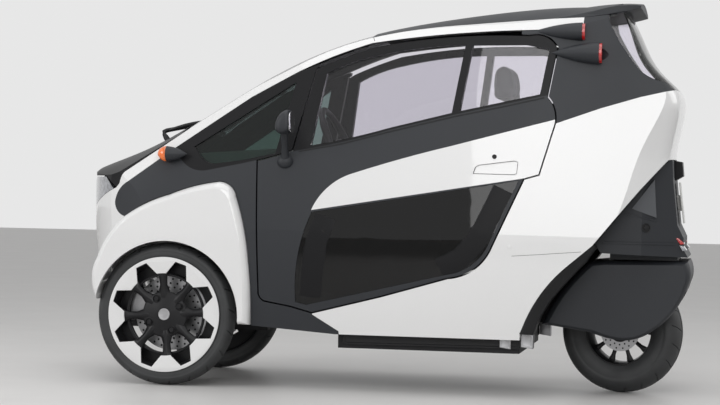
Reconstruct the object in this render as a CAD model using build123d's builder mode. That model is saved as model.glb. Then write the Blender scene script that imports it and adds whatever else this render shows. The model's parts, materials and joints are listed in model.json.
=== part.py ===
from build123d import *
import os

os.makedirs("parts", exist_ok=True)

# A narrow enclosed three wheeled car: two wheels in front, one steered wheel behind.
# Millimetres. +X forward, +Y left, +Z up, the origin on the ground below the middle of the overall length.
# Tables give stations along the car from the middle of the wheelbase, and MID moves them to the origin.

MID = 66.0
WHEELBASE = 1700.0
FRONT_AXLE = WHEELBASE / 2 - MID
REAR_AXLE = -WHEELBASE / 2 - MID
TRACK = 730.0
FRONT_R = 270.0
FRONT_WIDTH = 84.0
REAR_R = 235.0
REAR_WIDTH = 120.0
REAR_STEER = -14.0
WALL = 28.0
GLASS_IN = 4.0
GLASS_OUT = 10.0
DOOR_GAP = 6.0
FAR = 620.0
SILL_Z = 215.0
DOOR_HINGE_X = 505.0

# Sections of the body, front of the car last.
# x, half width at the sill, widest half width and its height, half width and height at the rail's lower edge,
# the same at its upper edge, height of the crown
SECTIONS = (
    (-1200, 380, 410, 600, 288, 1384, 262, 1427, 1484),
    (-600, 385, 415, 600, 298, 1360, 272, 1403, 1462),
    (-100, 388, 418, 600, 300, 1322, 274, 1361, 1402),
    (150, 388, 418, 600, 300, 1276, 276, 1313, 1347),
    (420, 388, 418, 600, 318, 1164, 296, 1200, 1244),
    (729, 388, 416, 590, 352, 973, 332, 1010, 1062),
    (1000, 385, 412, 550, 378, 796, 362, 838, 912),
    (1300, 380, 405, 420, 385, 570, 372, 612, 780),
)

# Plan outlines of the body at a height: tip of the nose, its shoulder, the rear face
# z, x_tip, x_shoulder, x_rear
PLANS = (
    (200, 1130, 985, -1000),
    (420, 1222, 1065, -1012),
    (640, 1245, 1085, -1020),
    (860, 1245, 1085, -1030),
    (1060, 1240, 1080, -1060),
    (1140, 1240, 1080, -1050),
    (1190, 1240, 1080, -1002),
    (1240, 1240, 1080, -956),
    (1320, 1240, 1080, -912),
    (1410, 1240, 1080, -870),
    (1500, 1240, 1080, -826),
)
SHOULDER_Y = 345.0


def side_face(rows, far=FAR, shrink=1.0, centre=(0.0, 0.0)):
    """A face on the plane y = far from an outline: 2 numbers a line's end, 4 an arc's middle and end."""
    def place(x, z):
        return (centre[0] + shrink * (x - centre[0]) - MID, centre[1] + shrink * (z - centre[1]))

    with BuildSketch(Plane.XZ.offset(-far)) as outline:
        with BuildLine():
            here = place(*rows[0])
            first = here
            for row in rows[1:]:
                stops = [place(row[i], row[i + 1]) for i in range(0, len(row), 2)]
                if len(stops) == 1:
                    Line(here, stops[0])
                else:
                    ThreePointArc(here, stops[0], stops[1])
                here = stops[-1]
            if (Vector(*here) - Vector(*first)).length > 0.01:
                Line(here, first)
        make_face()
    return outline.sketch


def hull(inset):
    """The body's outer form, taken in by inset all round."""
    with BuildPart() as form:
        for x, sill, wide, wide_z, low_y, low_z, top_y, top_z, crown in SECTIONS:
            bottom = SILL_Z + inset
            corner = (sill - inset, bottom)
            waist = (wide - inset, wide_z)
            low = (low_y - inset, low_z - inset / 3)
            top = (top_y - inset, top_z - inset)
            sill_mid = ((corner[0] + waist[0]) / 2 + 9, (corner[1] + waist[1]) / 2)
            side_mid = ((waist[0] + low[0]) / 2 + 16, (waist[1] + low[1]) / 2)
            high = top[1] + (crown - inset - top[1]) * 0.76
            with BuildSketch(Plane.YZ.offset(x - MID)):
                with BuildLine():
                    for s in (1, -1):
                        Line((0, bottom), (s * corner[0], bottom))
                        stops = [(s * y, z) for y, z in (corner, sill_mid, waist, side_mid, low)]
                        ThreePointArc(stops[0], stops[1], stops[2])
                        ThreePointArc(stops[2], stops[3], stops[4])
                        Line((s * low[0], low[1]), (s * top[0], top[1]))
                        ThreePointArc((s * top[0], top[1]), (s * top[0] * 0.52, high), (0, crown - inset))
                make_face()
        loft()
        with BuildPart(mode=Mode.PRIVATE) as plan:
            for z, tip, shoulder, rear in PLANS:
                nose = tip - MID - inset
                cheek = shoulder - MID - inset * 0.8
                back = rear - MID + inset
                with BuildSketch(Plane.XY.offset(z)):
                    with BuildLine():
                        for s in (1, -1):
                            y0 = s * (SHOULDER_Y - inset)
                            y1 = s * (460 - inset)
                            y2 = s * (452 - inset)
                            y3 = s * (322 - inset)
                            y4 = s * (230 - inset)
                            bow = nose - 38 * (tip - shoulder) / 155
                            ThreePointArc((nose, 0), (bow, y0 / 2), (cheek, y0))
                            ThreePointArc((cheek, y0), (cheek - 190, s * (426 - inset)), (600 - MID, y1))
                            Line((600 - MID, y1), (-700 - MID, y2))
                            ThreePointArc((-700 - MID, y2), (back + 150, s * (387 - inset)), (back + 52, y3))
                            ThreePointArc((back + 52, y3), (back + 15, s * (282 - inset)), (back, y4))
                            ThreePointArc((back, y4), (back - 8, y4 / 2), (back - 11, 0))
                    make_face()
            loft()
        add(plan.part, mode=Mode.INTERSECT)
    return form.part


OUTER = hull(0)
with BuildPart() as wall_form:
    add(OUTER)
    add(hull(WALL), mode=Mode.SUBTRACT)
WALLS = wall_form.part
with BuildPart() as pane_form:
    add(hull(GLASS_IN))
    add(hull(GLASS_OUT), mode=Mode.SUBTRACT)
PANES = pane_form.part
print("hull", OUTER.bounding_box(), OUTER.is_valid)


def mirrored(part):
    """The same part on the right hand side."""
    with BuildPart() as other:
        mirror(part, about=Plane.XZ)
    return other.part


def panel(layer, rows, cuts=(), near=0.0):
    """The piece of a shell layer inside a side view outline, on the left, less the outlines in cuts."""
    with BuildPart() as piece:
        add(layer)
        extrude(side_face(rows), amount=FAR - near, mode=Mode.INTERSECT)
        for face in cuts:
            extrude(face, amount=FAR, mode=Mode.SUBTRACT)
    return piece.part


def across(rows, half, layer=None):
    """A side view outline run across the car from -half to half, kept inside layer if one is given."""
    with BuildPart() as piece:
        extrude(side_face(rows, half), amount=2 * half)
        if layer is not None:
            add(layer, mode=Mode.INTERSECT)
    return piece.part


def save(part, name):
    """Label a part and write it."""
    part.label = name
    export_step(part, "parts/" + name + ".step")
    print(name, len(part.solids()), round(part.volume / 1e3), part.is_valid)


def pair(part, name):
    """A piece and its mirror image in one node."""
    with BuildPart() as both:
        add(part)
        mirror(part, about=Plane.XZ)
    save(both.part, name)


# Side view outlines. A row is a line's end, x z, or an arc's middle and end, x z x z.
FENDER = (
    (1112, 240), (1112, 312), (1140, 398, 1119, 482), (1078, 566, 1017, 638), (930, 691, 835, 727),
    (735, 761, 640, 779), (600, 766, 573, 722), (540, 613, 522, 500), (512, 374, 513, 240),
)
# y, share of the outline's size about FENDER_CENTRE
FENDER_CROWN = ((402, 0.993), (426, 0.970), (437, 0.92))
FENDER_CENTRE = (830.0, 420.0)
ARCH_CENTRE = (838.0, 267.0)
ARCH_R = 283.0
COWL_SIDE = (
    (1017, 638), (1054, 657, 1068, 692), (1058, 724, 1009, 771), (829, 902), (800, 860), (752, 824, 690, 820),
    (563, 846), (503, 860), (489, 478), (521, 478), (522, 500), (540, 613, 573, 722), (600, 766, 640, 779),
    (735, 761, 835, 727), (930, 691, 1017, 638),
)
SILL_WEDGE = (
    (521, 478), (440, 478), (440, 340), (279, 340), (279, 287), (180, 228), (178, 214), (513, 238),
    (512, 374, 521, 478),
)
NOSE = (
    (1300, 672), (1201, 676), (1138, 713, 1063, 747), (1009, 771), (1058, 724, 1068, 692),
    (1054, 657, 1017, 638), (1078, 566, 1119, 482), (1140, 398, 1112, 312), (1085, 262), (1300, 262),
)
HEADLAMP = (
    (1300, 674), (1201, 678), (1138, 715, 1077, 743), (1119, 788), (1192, 788), (1210, 764, 1222, 735),
    (1300, 700),
)
NOSE_BLOCK = (
    (1300, 674), (1201, 678), (1138, 715, 1063, 749), (1100, 800), (1190, 800), (1210, 764, 1222, 735),
    (1300, 700),
)
HOOD = (
    (1063, 749), (1116, 792), (1198, 792), (1202, 830), (1118, 910), (812, 1066), (812, 958), (914, 884),
    (1027, 807), (1040, 786, 1047, 764),
)
RAIL = (
    (1009, 771), (829, 902), (540, 1100), (366, 1197), (225, 1260, 84, 1309), (-200, 1342, -500, 1358),
    (-704, 1364), (-706, 1407), (-480, 1395, -280, 1380), (-80, 1360, 90, 1329), (225, 1288, 366, 1225),
    (540, 1134), (729, 1012), (914, 884), (1027, 807), (1040, 786, 1047, 764), (1063, 747),
)
WINDSHIELD = (
    (812, 960), (812, 1100), (430, 1330), (92, 1450), (92, 1331), (225, 1290, 366, 1227), (540, 1136),
    (729, 1014),
)
ROOF = (
    (90, 1330), (-80, 1361, -280, 1381), (-480, 1396, -706, 1408), (-836, 1426), (-909, 1441), (-909, 1500),
    (90, 1500),
)
# x, half width, height of the underside, of the side edge and of the crown
SPOILER = (
    (-690, 262, 1409, 1411, 1464),
    (-760, 262, 1417, 1437, 1472),
    (-840, 258, 1429, 1452, 1476),
    (-912, 244, 1445, 1453, 1474),
)
C_PILLAR = (
    (-480, 1355), (-704, 1363), (-706, 1407), (-795, 1418), (-800, 1388), (-852, 1296, -905, 1222),
    (-945, 1190, -1010, 1168), (-1040, 1140), (-920, 1112), (-779, 1069), (-560, 990), (-480, 1300),
)
REAR_QUARTER = (
    (276, 287), (176, 227), (175, 214), (-500, 214), (-502, 238), (-560, 362, -665, 486), (-761, 568),
    (-927, 774), (-1023, 885), (-1300, 940), (-1300, 1140), (-1040, 1140), (-920, 1112), (-779, 1069),
    (-560, 990), (276, 420),
)
REAR_GLASS = (
    (-795, 1418), (-800, 1388), (-852, 1296, -905, 1222), (-945, 1190, -1010, 1168), (-1040, 1140),
    (-1300, 1140), (-1300, 1425), (-836, 1425),
)
TAIL = (
    (-761, 569), (-927, 775), (-1002, 859), (-1023, 883), (-1036, 886), (-1040, 809), (-1058, 645),
    (-1081, 598), (-1082, 553), (-1098, 526), (-784, 538),
)
REAR_FENDER = (
    (-783, 506), (-1098, 511), (-1110, 465, -1102, 425), (-1060, 335, -975, 250), (-905, 216, -845, 211),
    (-790, 222, -740, 238), (-560, 264), (-640, 400, -735, 500),
)
# y, share of the outline's size about REAR_FENDER_CENTRE
REAR_FENDER_CROWN = ((178, 1.0), (200, 0.975), (214, 0.91))
REAR_FENDER_CENTRE = (-900.0, 360.0)
REAR_FENDER_IN = (
    (-783, 494), (-1088, 498), (-1092, 425), (-1092, 100), (-600, 100), (-606, 300), (-660, 400), (-735, 484),
)
DOOR = (
    (497, 856), (480, 372), (475, 348, 460, 335), (361, 318), (277, 296), (17, 364), (-235, 439),
    (-335, 478, -393, 556), (-506, 808), (-560, 824), (-613, 1012), (-607, 1068, -582, 1108), (-612, 1290),
    (-590, 1318, -511, 1334), (-200, 1328, 72, 1292), (175, 1258, 268, 1220), (291, 1206), (364, 896),
    (430, 874, 497, 856),
)
DOOR_BELT = (
    (364, 896), (180, 932, 0, 980), (-237, 1038), (-590, 1116), (-700, 1200), (-700, 1400), (291, 1400),
    (291, 1206),
)
DOOR_WHITE = (
    (284, 677), (235, 752, 138, 814), (-60, 876, -235, 923), (-640, 1032), (-640, 824), (-560, 824),
    (-506, 808),
)
DOOR_LOWER = (
    (282, 670), (-488, 800), (-385, 566), (-330, 492, -235, 450), (300, 322), (340, 332),
    (325, 540, 282, 670),
)
WINDOW_FRONT = (
    (298, 918), (252, 1190), (160, 1232, 66, 1258), (-120, 1290, -272, 1300), (-232, 1046), (0, 988),
    (160, 946, 298, 918),
)
WINDOW_REAR = ((-300, 1300), (-500, 1302), (-584, 1284), (-556, 1118), (-262, 1053))
HANDLE = (
    (-322, 824), (-329, 845), (-340, 852, -350, 854), (-470, 870), (-483, 866), (-479, 826), (-470, 822),
)
QUARTER_FRAME = (
    (829, 902), (800, 860), (752, 824, 690, 820), (563, 846), (503, 860), (350, 890), (283, 1228),
    (366, 1195), (540, 1098),
)
QUARTER_GLASS = ((752, 907), (735, 893), (700, 853, 650, 847), (566, 858), (432, 886), (368, 1158))
BULKHEAD = (
    (-500, 243), (-558, 362, -665, 488), (-761, 570), (-927, 776), (-1010, 882), (-990, 892), (-912, 792),
    (-748, 586), (-652, 506), (-545, 372, -484, 243),
)
FIREWALL = ((506, 243), (506, 784), (488, 784), (488, 243))
DASH = ((790, 850), (770, 882), (430, 905), (385, 880, 390, 820), (440, 786), (790, 786))

OPENING = offset(side_face(DOOR), amount=DOOR_GAP, kind=Kind.INTERSECTION)

# Outer panels of the body
with BuildPart() as fender_left:
    extrude(side_face(FENDER, FENDER_CROWN[0][0], FENDER_CROWN[0][1], FENDER_CENTRE), amount=147)
    loft([side_face(FENDER, y, k, FENDER_CENTRE).face() for y, k in FENDER_CROWN])
    with BuildPart(mode=Mode.PRIVATE) as fender_hollow:
        extrude(side_face(FENDER, 420, 0.95, FENDER_CENTRE), amount=182)
        with Locations((825 - MID, 330, 240)):
            Box(568, 180, 60)
    add(fender_hollow.part, mode=Mode.SUBTRACT)
    with BuildSketch(Plane.XZ.offset(-460)):
        with Locations((ARCH_CENTRE[0] - MID, ARCH_CENTRE[1])):
            Circle(ARCH_R)
    extrude(amount=220, mode=Mode.SUBTRACT)
pair(fender_left.part, "front_fenders")

pair(panel(WALLS, COWL_SIDE, (OPENING,)), "cowl_sides")
with BuildPart() as sill_wedge:
    add(panel(WALLS, SILL_WEDGE, (OPENING,), 330))
pair(sill_wedge.part, "sill_wedges")
pair(panel(WALLS, RAIL, (OPENING,), 150), "roof_rails")
with BuildPart() as c_pillar:
    add(panel(WALLS, C_PILLAR, (OPENING,)))
    with Locations(Location((-807 - MID, 322, 1272), (0, 90, 0))):
        Cone(4, 30, 64, mode=Mode.SUBTRACT)
pair(c_pillar.part, "c_pillars")
with BuildPart() as rear_quarter:
    add(panel(WALLS, REAR_QUARTER, (OPENING,)))
    with Locations((-100 - MID, 0, 240)):
        Box(1000, 690, 120, mode=Mode.SUBTRACT)
pair(rear_quarter.part, "rear_quarters")
with BuildPart() as quarter_frame:
    add(panel(WALLS, QUARTER_FRAME, (OPENING, side_face(QUARTER_GLASS))))
pair(quarter_frame.part, "quarter_frames")
pair(panel(PANES, QUARTER_GLASS), "quarter_glass")

save(across(NOSE, FAR, WALLS), "nose_cover")
save(across(WINDSHIELD, FAR, PANES), "windshield")
save(across(REAR_GLASS, FAR, PANES), "rear_glass")

with BuildPart() as headlamp:
    add(OUTER)
    extrude(side_face(HEADLAMP), amount=FAR - 110, mode=Mode.INTERSECT)
pair(headlamp.part, "headlamps")
with BuildPart() as hood:
    add(across(HOOD, FAR, WALLS))
    add(across(NOSE_BLOCK, 109, OUTER))
save(hood.part, "hood")
with BuildPart() as roof:
    add(across(ROOF, FAR, WALLS))
    for x, half, low, edge, crown in SPOILER:
        with BuildSketch(Plane.YZ.offset(x - MID)):
            with BuildLine():
                Polyline((half, edge), (half, low), (-half, low), (-half, edge))
                ThreePointArc((-half, edge), (0, crown), (half, edge))
            make_face()
    loft()
save(roof.part, "roof_panel")

PIVOT_R = 25.0
with BuildPart() as tail_unit:
    extrude(side_face(TAIL, 290), amount=580)
    with BuildSketch(Plane.XY.offset(500)):
        with BuildLine():
            Polyline((-700 - MID, 290), (-930 - MID, 268), (-1110 - MID, 190), (-1110 - MID, -190),
                (-930 - MID, -268), (-700 - MID, -290), close=True)
        make_face()
    extrude(amount=700, mode=Mode.INTERSECT)
    with Locations((-935 - MID, 0, 527)):
        Box(250, 350, 29)
    with Locations((REAR_AXLE, 0, 560)):
        Cylinder(PIVOT_R + 7, 100, mode=Mode.SUBTRACT)
save(tail_unit.part, "tail_unit")

with BuildPart() as rear_fender:
    extrude(side_face(REAR_FENDER, 178), amount=356)
    for side in (1, -1):
        loft([side_face(REAR_FENDER, side * y, k, REAR_FENDER_CENTRE).face() for y, k in REAR_FENDER_CROWN])
    with BuildPart(mode=Mode.PRIVATE) as rear_hollow:
        extrude(side_face(REAR_FENDER_IN, 190), amount=380)
    add(rear_hollow.part, mode=Mode.SUBTRACT)
    with Locations((REAR_AXLE, 0, 500)):
        Cylinder(PIVOT_R + 7, 60, mode=Mode.SUBTRACT)
save(rear_fender.part, "rear_fender")

# Lamps, pods and plate
# name, x of the tip, x of the wide end, radius, y, z
PODS = (
    ("signal_pods", 770, 850, 29, 400, 879),
    ("pillar_pods", -590, -768, 41, 318, 1272),
    ("rail_pods", -520, -703, 34, 296, 1352),
)
with BuildPart() as pods:
    for name, tip, wide, radius, y, z in PODS:
        with BuildSketch(Plane.XY.offset(z)):
            with BuildLine():
                Line((tip - MID, y), (wide - MID, y))
                Line((wide - MID, y), (wide - MID, y + radius))
                flank = ((tip + wide) / 2 - MID, y + radius * 0.72)
                ThreePointArc((wide - MID, y + radius), flank, (tip - MID, y))
            make_face()
        revolve(axis=Axis((0, y, z), (1, 0, 0)))
    add(OUTER, mode=Mode.SUBTRACT)
pair(pods.part, "lamp_pods")

with BuildPart() as amber:
    with BuildSketch(Plane.XY.offset(879)):
        with BuildLine():
            Line((850 - MID, 400), (850 - MID, 429))
            ThreePointArc((850 - MID, 429), (876 - MID, 420), (887 - MID, 400))
            Line((887 - MID, 400), (850 - MID, 400))
        make_face()
    revolve(axis=Axis((0, 400, 879), (1, 0, 0)))
    add(OUTER, mode=Mode.SUBTRACT)
pair(amber.part, "signal_lenses")

with BuildPart() as red_left:
    for x, y, z, radius in ((-773, 318, 1272, 37), (-708, 296, 1352, 31)):
        with Locations(Location((x - MID, y, z), (0, 90, 0))):
            Cylinder(radius, 10)
    add(OUTER, mode=Mode.SUBTRACT)
pair(red_left.part, "red_lenses")

with BuildPart() as plate:
    with BuildSketch(Plane.XZ.offset(-60)):
        with BuildLine():
            corners = ((-1037, 886), (-1066, 881), (-1071, 828), (-1042, 811))
            Polyline([(x - MID, z) for x, z in corners], close=True)
        make_face()
    extrude(amount=120)
save(plate.part, "plate_lamp")
PLATE_HOLE_R = 3.5
with BuildPart() as number_plate:
    with Locations(Location((-1066 - MID, 0, 727), (0, 7, 0))):
        Box(4, 125, 155)
        for y in (45, -45):
            with Locations(Location((0, y, 60), (0, 90, 0))):
                Cylinder(PLATE_HOLE_R, 10, mode=Mode.SUBTRACT)
        with Locations((9.25, 0, 0)):
            Box(14.5, 40, 60)
save(number_plate.part, "number_plate")

# Cabin
CABIN = hull(WALL + 8)
with BuildPart() as floor:
    add(CABIN)
    with Locations((2 - MID, 0, 252)):
        Box(976, 900, 32, mode=Mode.INTERSECT)
    with Locations((-152 - MID, 0, 205.5)):
        Box(684, 656, 91)
    add(across(BULKHEAD, FAR, CABIN))
    add(across(FIREWALL, FAR, CABIN))
save(floor.part, "cabin_tub")
STEERING_CENTRE = (262.0, 916.0)
STEERING_R = 165.0
STEERING_TURN = -65.0
STEERING_HUB = 34.0
COLUMN = 150.0
with BuildPart() as dashboard:
    add(across(DASH, FAR, CABIN))
    with Locations(Location((STEERING_CENTRE[0] - MID, 0, STEERING_CENTRE[1]), (0, STEERING_TURN, 0))):
        with Locations((0, 0, -STEERING_HUB / 2 - COLUMN / 2)):
            Cylinder(20, COLUMN)
save(dashboard.part, "dashboard")

with BuildPart() as battery:
    with Locations((20 - MID, 0, 372)):
        Box(440, 380, 208)
save(battery.part, "battery_block")
SEAT_CUSHION = ((250, 478), (270, 540), (262, 590, 215, 600), (-150, 572), (-165, 478))
SEAT_BACK = ((-170, 500), (-160, 590), (-318, 1075), (-340, 1096, -366, 1090), (-400, 1070), (-262, 500))
HEADREST = ((-342, 1100), (-350, 1190), (-385, 1245, -426, 1190), (-440, 1100))
REAR_CUSHION = ((-440, 602), (-430, 670), (-470, 690), (-735, 676), (-735, 602))
REAR_BACK = ((-742, 690), (-832, 1120), (-850, 1135, -880, 1120), (-868, 900), (-815, 690))
REAR_BASE = ((-440, 272), (-440, 600), (-732, 600), (-739, 589), (-645, 509), (-539, 374, -486, 272))
for name, rows, half in (
    ("front_seat_cushion", SEAT_CUSHION, 225),
    ("front_seat_back", SEAT_BACK, 215),
    ("front_headrest", HEADREST, 125),
    ("rear_seat_cushion", REAR_CUSHION, 200),
    ("rear_seat_back", REAR_BACK, 190),
    ("rear_seat_base", REAR_BASE, 190),
):
    save(across(rows, half), name)

with BuildPart() as steering:
    with Locations(Location((STEERING_CENTRE[0] - MID, 0, STEERING_CENTRE[1]), (0, STEERING_TURN, 0))):
        Torus(STEERING_R, 15)
        Cylinder(55, STEERING_HUB)
        for turn in (0, 180, 270):
            with Locations(Location((0, 0, 0), (0, 0, turn))):
                with Locations((95, 0, 0)):
                    Box(130, 32, 14)
save(steering.part, "steering_wheel")

# Front running gear, with a threaded socket for a tow eye in the front end of the right hand rail
TOW_R = 8.0
TOW_DEPTH = 40.0
TOW_Z = 228.0
with BuildPart() as frame:
    for side in (1, -1):
        with Locations((784 - MID, side * 130, 235)):
            Box(552, 46, 66)
    for x in (640, 980):
        with Locations((x - MID, 0, 235)):
            Box(50, 300, 40)
    with Locations((1044 - MID, 0, 300)):
        Box(36, 400, 90)
    with Locations((850 - MID, 0, 380)):
        Box(60, 250, 260)
    with Locations(Location((1060 - MID - TOW_DEPTH / 2, -130, TOW_Z), (0, 90, 0))):
        Cylinder(TOW_R, TOW_DEPTH, mode=Mode.SUBTRACT)
save(frame.part, "front_frame")
HUB_Y = TRACK / 2
# x, y and z at the frame, x and z at the knuckle
ARMS = (
    (770, 161, 222, 835, 185),
    (930, 161, 222, 865, 185),
    (828, 130, 345, 838, 345),
    (872, 130, 345, 862, 345),
)
ARM_END_Y = 256.0
with BuildPart() as arms:
    for x, start_y, start_z, end_x, end_z in ARMS:
        reach = Vector(end_x - x, ARM_END_Y - start_y, end_z - start_z)
        with BuildSketch(Plane((x - MID, start_y, start_z), z_dir=reach)):
            Circle(11)
        extrude(amount=reach.length)
pair(arms.part, "suspension_arms")
with BuildPart() as knuckle:
    with Locations((FRONT_AXLE, 276, 265)):
        Box(70, 24, 210)
    with Locations(Location((FRONT_AXLE, 328, FRONT_R), (90, 0, 0))):
        Cylinder(14, 86)
pair(knuckle.part, "front_knuckles")
with BuildPart() as caliper:
    with Locations((FRONT_AXLE + 118, 307.5, FRONT_R + 36)):
        Box(62, 46, 84)
        Box(80, 15, 100, mode=Mode.SUBTRACT)
    with Locations((FRONT_AXLE + 155, 307.5, FRONT_R + 36)):
        Box(16, 46, 84)
    with Locations((FRONT_AXLE + 70, 293, FRONT_R + 36)):
        Box(90, 10, 40)
pair(caliper.part, "front_calipers")

# Wheels, each made upright at the origin with its axle along Y and its outer face towards +Y
def tyre(radius, width, seat, shoulder):
    half = width / 2
    with BuildPart() as made:
        with BuildSketch(Plane.YZ):
            with BuildLine():
                edge = (half * 0.86, radius - shoulder)
                flank = (half, radius - shoulder * 1.9)
                bead = (half * 0.76, seat)
                ThreePointArc((-edge[0], edge[1]), (0, radius), edge)
                ThreePointArc(edge, flank, bead)
                Line(bead, (-bead[0], bead[1]))
                ThreePointArc((-bead[0], bead[1]), (-flank[0], flank[1]), (-edge[0], edge[1]))
            make_face()
        revolve(axis=Axis.Y)
    return made.part


def ring(inner, outer, y0, y1):
    with BuildPart() as made:
        with BuildSketch(Plane.XZ.offset(-y1)):
            Circle(outer)
            Circle(inner, mode=Mode.SUBTRACT)
        extrude(amount=y1 - y0)
    return made.part


def placed(part, name, x, y, z, turn=0.0, flip=False):
    """Move a wheel's piece to its place: turned about the vertical, and its outer face to -Y if flipped."""
    with BuildPart() as made:
        with Locations(Location((x, y, z), (0, 0, turn + (180 if flip else 0)))):
            add(part)
    save(made.part, name)


SPOKES = 8
SPOKE_TURN = -4.0
RIM_R = 218.0
SPIDER_R = 156.0
front_tyre = tyre(FRONT_R, FRONT_WIDTH, 206.0, 15.0)
with BuildPart() as front_rim:
    with BuildSketch(Plane.XZ.offset(-47)):
        Circle(RIM_R)
        Circle(SPIDER_R, mode=Mode.SUBTRACT)
        with PolarLocations(0, SPOKES, start_angle=SPOKE_TURN + 22.5):
            Polygon((146, 44), (204, 22), (204, -22), (146, -44), align=None, mode=Mode.SUBTRACT)
    extrude(amount=6)
with BuildPart() as front_spider:
    with BuildSketch(Plane.XZ.offset(-32)):
        Circle(62)
        with PolarLocations(0, SPOKES, start_angle=SPOKE_TURN):
            Polygon((40, 22), (110, 18), (150, 20), (197, 26), (197, -26), (150, -20), (110, -18), (40, -22),
                align=None)
    extrude(amount=12)
    add(ring(194, 206, -34, 41))
    with Locations(Location((0, 10, 0), (90, 0, 0))):
        Cylinder(44, 44)
    with Locations(Location((0, 36, 0), (90, 0, 0))):
        Cylinder(30, 12)
    with Locations(Location((0, -10, 0), (90, 0, 0))):
        Cylinder(15, 40, mode=Mode.SUBTRACT)
with BuildPart() as brake_disc:
    add(ring(44, 142, -60, -55))
    add(ring(30, 52, -60, -12))
for side, flip, y in (("left", False, HUB_Y), ("right", True, -HUB_Y)):
    placed(front_tyre, "front_tyre_" + side, FRONT_AXLE, y, FRONT_R, 0, flip)
    placed(front_rim.part, "front_rim_" + side, FRONT_AXLE, y, FRONT_R, 0, flip)
    placed(front_spider.part, "front_spider_" + side, FRONT_AXLE, y, FRONT_R, 0, flip)
    placed(brake_disc.part, "brake_disc_" + side, FRONT_AXLE, y, FRONT_R, 0, flip)

placed(tyre(REAR_R, REAR_WIDTH, 132.0, 24.0), "rear_tyre", REAR_AXLE, 0, REAR_R, REAR_STEER)
with BuildPart() as rear_rim:
    add(ring(118, 132, -44, 44))
    with BuildSketch(Plane.XZ.offset(-18)):
        Circle(120)
        Circle(30, mode=Mode.SUBTRACT)
        with PolarLocations(0, 10):
            Polygon((70, 12), (104, 20), (104, -20), (70, -12), align=None, mode=Mode.SUBTRACT)
    extrude(amount=10)
    add(ring(17, 40, -40, 40))
    add(ring(38, 96, 26, 31))
placed(rear_rim.part, "rear_rim", REAR_AXLE, 0, REAR_R, REAR_STEER)
with BuildPart() as rear_arm:
    with Locations((0, -80, 119)):
        Box(60, 20, 268)
    with Locations((0, -44, 247)):
        Box(70, 92, 12)
    with Locations((0, 0, 290)):
        Cylinder(PIVOT_R, 98)
    with Locations(Location((0, -20, 0), (90, 0, 0))):
        Cylinder(16, 120)
placed(rear_arm.part, "rear_arm", REAR_AXLE, 0, REAR_R, REAR_STEER)

# Doors
HANDLE_FLOOR_Y = 375.0
handle_cut = offset(side_face(HANDLE), amount=2.5)
door_parts = []
with BuildPart() as door_shell:
    add(panel(WALLS, DOOR))
    for rows in (DOOR_BELT, DOOR_WHITE, DOOR_LOWER):
        extrude(side_face(rows), amount=FAR, mode=Mode.SUBTRACT)
door_parts.append((door_shell.part, "door_shell"))
with BuildPart() as door_white:
    add(panel(WALLS, DOOR_WHITE))
    extrude(side_face(DOOR), amount=FAR, mode=Mode.INTERSECT)
    extrude(handle_cut, amount=FAR - HANDLE_FLOOR_Y, mode=Mode.SUBTRACT)
door_parts.append((door_white.part, "door_panel"))
with BuildPart() as door_frame:
    add(panel(WALLS, DOOR))
    extrude(side_face(DOOR_BELT), amount=FAR, mode=Mode.INTERSECT)
    for rows in (WINDOW_FRONT, WINDOW_REAR):
        extrude(side_face(rows), amount=FAR, mode=Mode.SUBTRACT)
door_parts.append((door_frame.part, "door_frame"))
with BuildPart() as door_window:
    add(panel(PANES, WINDOW_FRONT))
    add(panel(PANES, WINDOW_REAR))
door_parts.append((door_window.part, "door_window"))
door_parts.append((panel(PANES, DOOR_LOWER), "door_lower_glass"))
with BuildPart() as door_handle:
    add(panel(PANES, HANDLE))
    for x, z in ((-342, 839), (-468, 847)):
        with Locations((x - MID, HANDLE_FLOOR_Y + 5.5, z)):
            Box(14, 11, 12)
door_parts.append((door_handle.part, "door_handle"))
MIRROR_FOOT = (392, 386, 856)
with BuildPart() as mirror_head:
    with BuildSketch(Plane.XZ.offset(-560)):
        with BuildLine():
            ThreePointArc((400, 960), (394, 1018), (356, 1048))
            ThreePointArc((356, 1048), (343, 1034), (340, 990))
            Line((340, 990), (348, 958))
            Line((348, 958), (400, 960))
        make_face()
    extrude(amount=110)
    with Locations(MIRROR_FOOT):
        Sphere(28)
    stalk = Vector(381, 452, 966) - Vector(*MIRROR_FOOT)
    with BuildSketch(Plane(MIRROR_FOOT, z_dir=stalk)):
        Circle(11)
    extrude(amount=stalk.length)
    add(Pos(MID, 0, 0) * OUTER, mode=Mode.SUBTRACT)
door_parts.append((Pos(-MID, 0, 0) * mirror_head.part, "mirror"))
for part, name in door_parts:
    save(part, name + "_left")
    save(mirrored(part), name + "_right")
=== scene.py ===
"""Finishes and small pieces of a narrow three wheeled car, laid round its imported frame."""
import json
import math

import bmesh
import bpy
from mathutils import Matrix, Vector


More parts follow.
